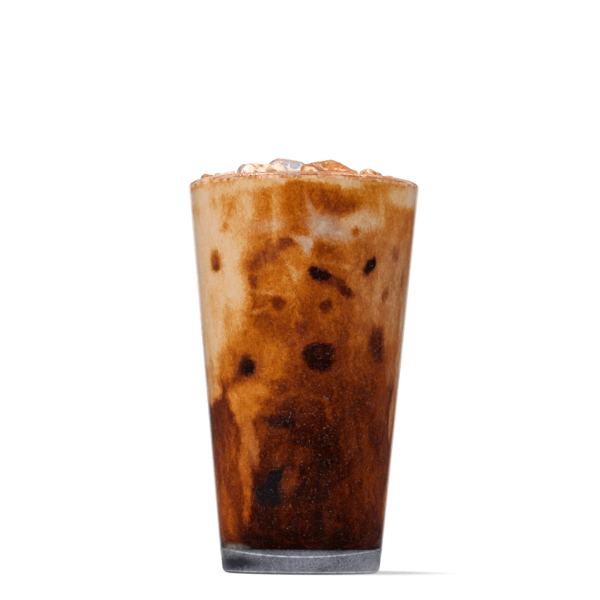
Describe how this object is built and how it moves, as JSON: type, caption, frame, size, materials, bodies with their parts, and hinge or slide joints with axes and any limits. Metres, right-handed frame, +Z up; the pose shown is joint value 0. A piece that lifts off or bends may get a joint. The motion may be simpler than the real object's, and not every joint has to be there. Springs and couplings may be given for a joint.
{
  "type": "iced coffee in a glass",
  "caption": "Milky iced coffee in a straight tapered bar glass, with melting ice cubes heaped just over the rim.",
  "frame": {"origin": "centre of the glass's foot, on the surface that it stands on", "axes": "+Z up along the glass's axis, -Y towards the front, +X to the right"},
  "size_m": [0.0888, 0.0888, 0.1593],
  "materials": {
    "glass": "clear, with fine dew on the outside",
    "coffee": "wet, milk swirled through dark coffee",
    "ice": "wet melting ice with a coffee film"
  },
  "bodies": {
    "root": {"glass": "glass", "coffee": "coffee", "ice_front_left": "ice", "ice_middle": "ice", "ice_front_right": "ice", "ice_left": "ice", "ice_right": "ice", "ice_chip_edge": "ice", "ice_chip_left": "ice", "ice_chip_right": "ice", "ice_centre_right": "ice", "ice_back_left": "ice", "ice_back": "ice", "ice_back_right": "ice"}
  },
  "joints": []
}
